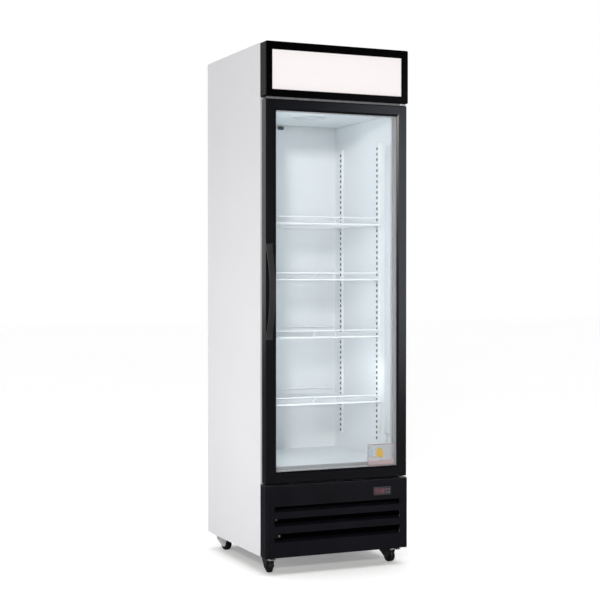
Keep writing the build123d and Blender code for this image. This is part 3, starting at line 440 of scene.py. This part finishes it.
def floor_material():
    """White sweep; it looks darker in gloss, so the black fronts do not mirror a bright floor."""
    mat = plain("floor_white", (0.93, 0.93, 0.93), 0.8, drift=0.01, blotch=0.5)
    tree = mat.node_tree
    out = find(tree, "OUTPUT_MATERIAL")
    lit = out.inputs["Surface"].links[0].from_socket
    body = find(tree, "BSDF_PRINCIPLED")
    body.inputs["Emission Color"].default_value = (1, 1, 1, 1)
    body.inputs["Emission Strength"].default_value = 0.25
    dim = add(tree, "ShaderNodeBsdfDiffuse", {"Color": (0.12, 0.12, 0.12, 1)})
    seen = add(tree, "ShaderNodeLightPath")
    blend_shaders(tree, out, seen.outputs["Is Glossy Ray"], lit, dim.outputs["BSDF"])
    return mat


def studio_floor():
    mesh = bpy.data.meshes.new("studio_floor")
    corners = [(x * FLOOR_HALF, y * FLOOR_HALF, 0) for x, y in ((-1, -1), (1, -1), (1, 1), (-1, 1))]
    mesh.from_pydata(corners, [], [(0, 1, 2, 3)])
    mesh.materials.append(floor_material())
    ob = bpy.data.objects.new("studio_floor", mesh)
    bpy.context.scene.collection.objects.link(ob)


def studio_world():
    """White to the camera; as a light, dim in front with a bright low band behind, and its own
    value for reflections."""
    world = bpy.data.worlds.new("studio")
    bpy.context.scene.world = world
    world.use_nodes = True
    tree = world.node_tree
    back = tree.nodes["Background"]
    back.inputs["Color"].default_value = (1, 1, 1, 1)
    way = axes(tree, "Generated")
    low = spread(tree, way["Z"], WORLD_BAND, WORLD_SKY, 0.05, 0.20)
    behind = spread(tree, way["Y"], 0.0, 1.0, 0.0, 0.5)
    light = calc(tree, "MULTIPLY_ADD", low, behind, WORLD_FRONT)
    shine = spread(tree, way["Y"], WORLD_FRONT, WORLD_SHINE, 0.0, 0.5)
    seen = add(tree, "ShaderNodeLightPath")
    gloss = add(tree, "ShaderNodeMix", links={
        "Factor": seen.outputs["Is Glossy Ray"], "A": light, "B": shine})
    pick = add(tree, "ShaderNodeMix", {"B": 1.0}, {
        "Factor": seen.outputs["Is Camera Ray"], "A": gloss.outputs["Result"]})
    tree.links.new(pick.outputs["Result"], back.inputs["Strength"])


def sky(name, power, spread_deg):
    """A wide sun straight overhead."""
    lamp = bpy.data.lights.new(name, "SUN")
    lamp.energy = power
    lamp.angle = math.radians(spread_deg)
    ob = bpy.data.objects.new(name, lamp)
    bpy.context.scene.collection.objects.link(ob)


def area(name, place, aim, size, power, colour=(1, 1, 1), tall=None, glossy=True, only=None):
    """An area light aimed at a point; only limits it to the nodes of one collection."""
    lamp = bpy.data.lights.new(name, "AREA")
    lamp.shape = "RECTANGLE"
    lamp.size = size
    lamp.size_y = tall or size
    lamp.energy = power
    lamp.color = colour
    ob = bpy.data.objects.new(name, lamp)
    bpy.context.scene.collection.objects.link(ob)
    ob.location = place
    ob.rotation_euler = (Vector(aim) - Vector(place)).to_track_quat("-Z", "Y").to_euler()
    ob.visible_camera = False
    ob.visible_glossy = glossy
    if only:
        ob.light_linking.receiver_collection = only


studio_floor()
studio_world()
bpy.context.scene.view_settings.view_transform = "Standard"
walls = bpy.data.collections.new("cabin_lit")
wires = bpy.data.collections.new("shelves_lit")
for name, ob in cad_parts.items():
    (wires if name in SHELVES else walls).objects.link(ob)

sky("sky_panel", 2.35, 70)
area("key_light", (-3.1, -5.76, 2.69), (0, 0, 1.15), 0.5, 190, (0.99, 0.955, 0.915))
area("side_light", (-1.4, 0.0, 0.60), (0, 0, 0.60), 0.9, 4.5, glossy=False)
area("other_side", (1.5, 0.1, 0.9), (0, 0.1, 0.9), 0.9, 3.0, glossy=False)
area("right_card", (2.75, -4.3, 1.50), (0.3, FRONT, 1.2), 1.2, 25, (0.88, 0.94, 1), tall=2.1)
area("cabin_left", (-0.225, FRONT + 0.09, 1.13), (0.3, FRONT + 0.27, 1.10), 0.03, 1.9,
     (0.82, 0.955, 1), tall=1.2, only=walls)
area("cabin_low", (0, FRONT + 0.11, 0.80), (0, FRONT + 0.38, 0.41), 0.44, 0.26, (0.92, 0.98, 1),
     tall=0.03)
area("shelf_fill", (-1.0, -1.9, 1.25), (0, FRONT + 0.2, 1.1), 1.2, 36, (0.94, 0.98, 1), only=wires)

camera = bpy.data.cameras.new("camera")
camera.lens = 82.35
camera.sensor_width = 36.0
eye = bpy.data.objects.new("camera", camera)
bpy.context.scene.collection.objects.link(eye)
eye.location = (-2.2873, -4.8190 + FRONT, 1.1247)
eye.rotation_euler = (math.radians(90 - 0.76), 0, math.radians(-23.78))
bpy.context.scene.camera = eye
